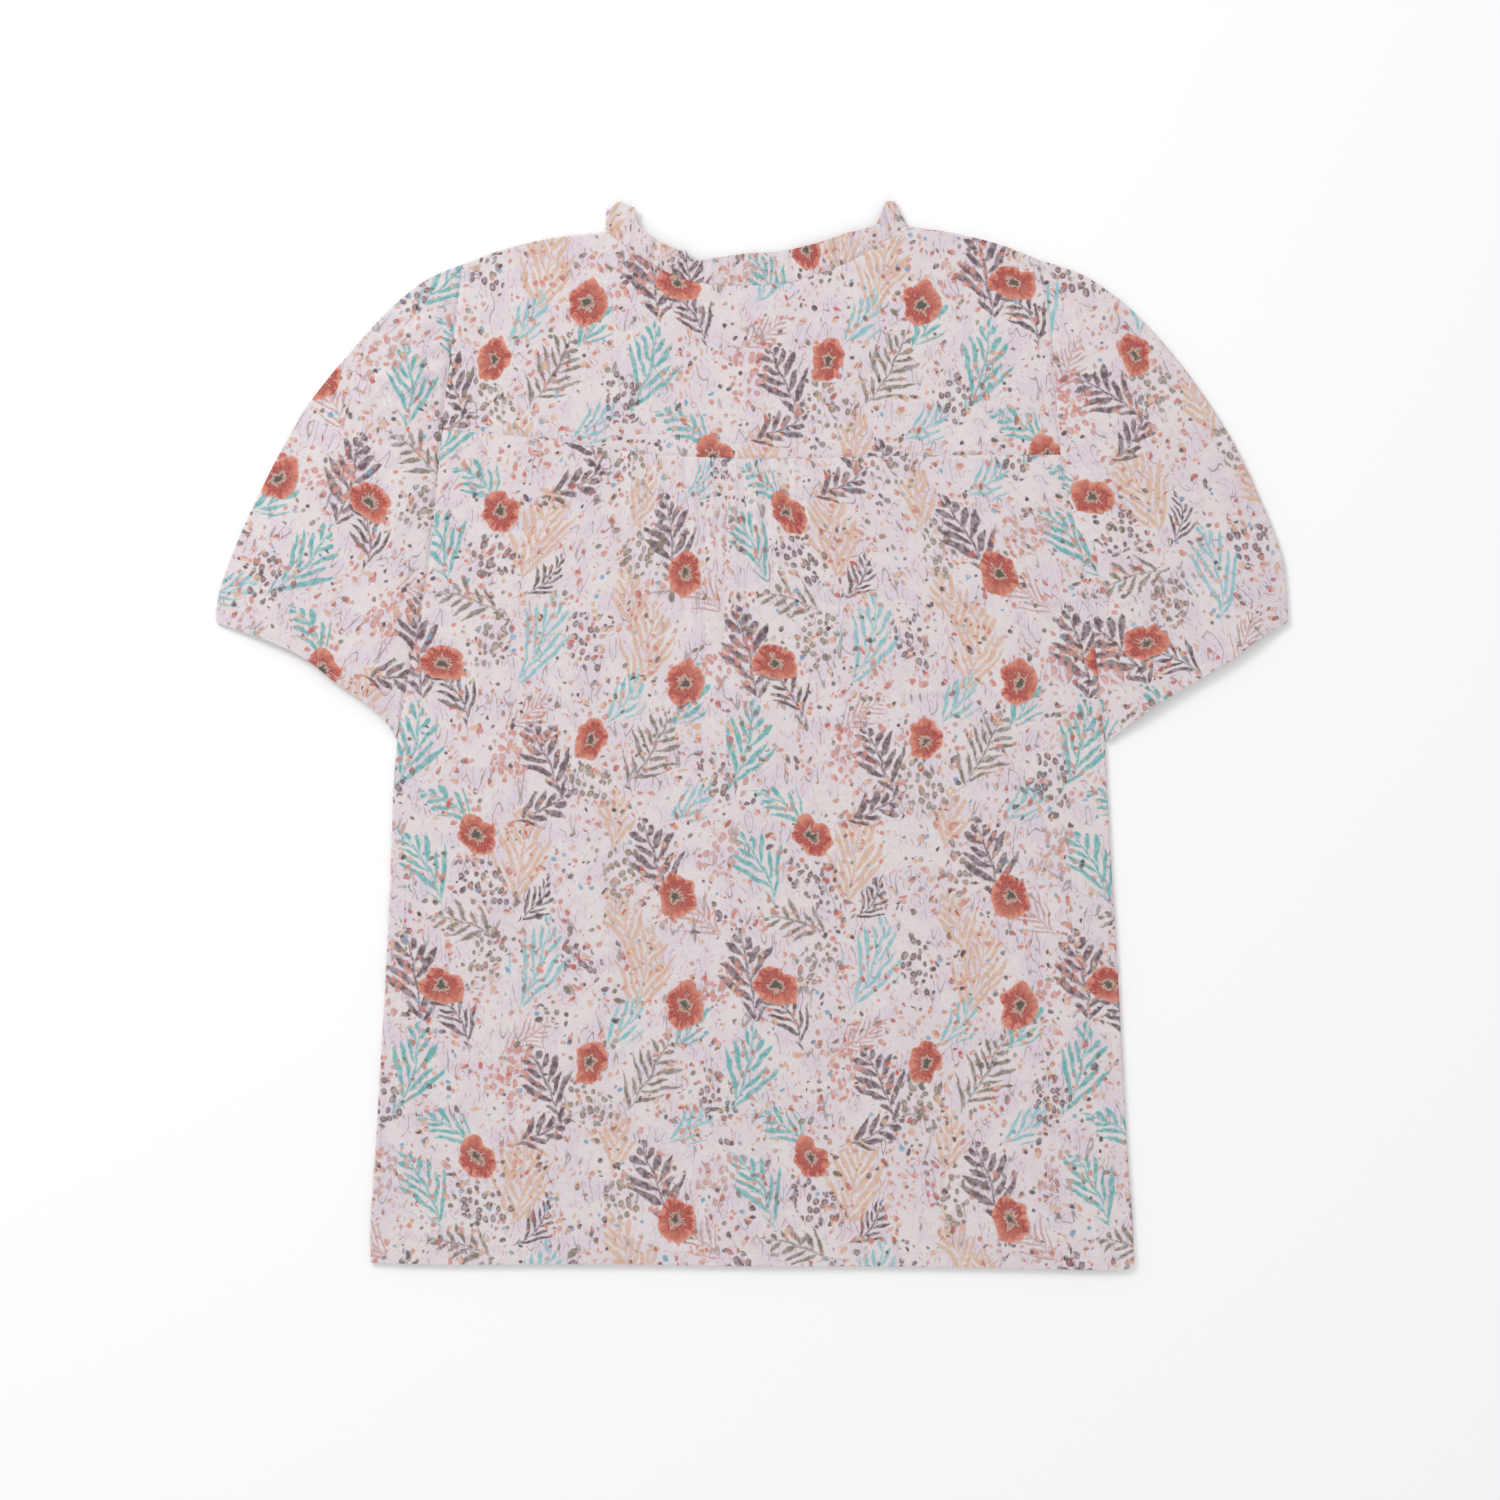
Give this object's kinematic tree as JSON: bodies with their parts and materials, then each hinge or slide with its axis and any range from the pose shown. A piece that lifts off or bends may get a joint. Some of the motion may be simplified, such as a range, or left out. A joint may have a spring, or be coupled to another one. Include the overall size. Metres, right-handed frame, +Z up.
{
  "type": "short-sleeved blouse",
  "caption": "Light cotton blouse with short puff sleeves, a back yoke over a gathered panel and a frilled neck, laid flat on its front",
  "frame": {"origin": "the middle of the blouse's outline, on the surface that it lies on", "axes": "+X to the viewer's right across the back, +Y towards the neck, +Z up from the surface"},
  "size_m": [0.7063, 0.7046, 0.0066],
  "materials": {
    "printed_cotton": "matt plain-weave cotton, pale lilac pink with a small flower print in coral, teal, plum and peach"
  },
  "bodies": {
    "root": {"front": "printed_cotton", "back_yoke": "printed_cotton", "back_body": "printed_cotton", "sleeve_left": "printed_cotton", "sleeve_right": "printed_cotton", "neck_frill": "printed_cotton"}
  },
  "joints": []
}
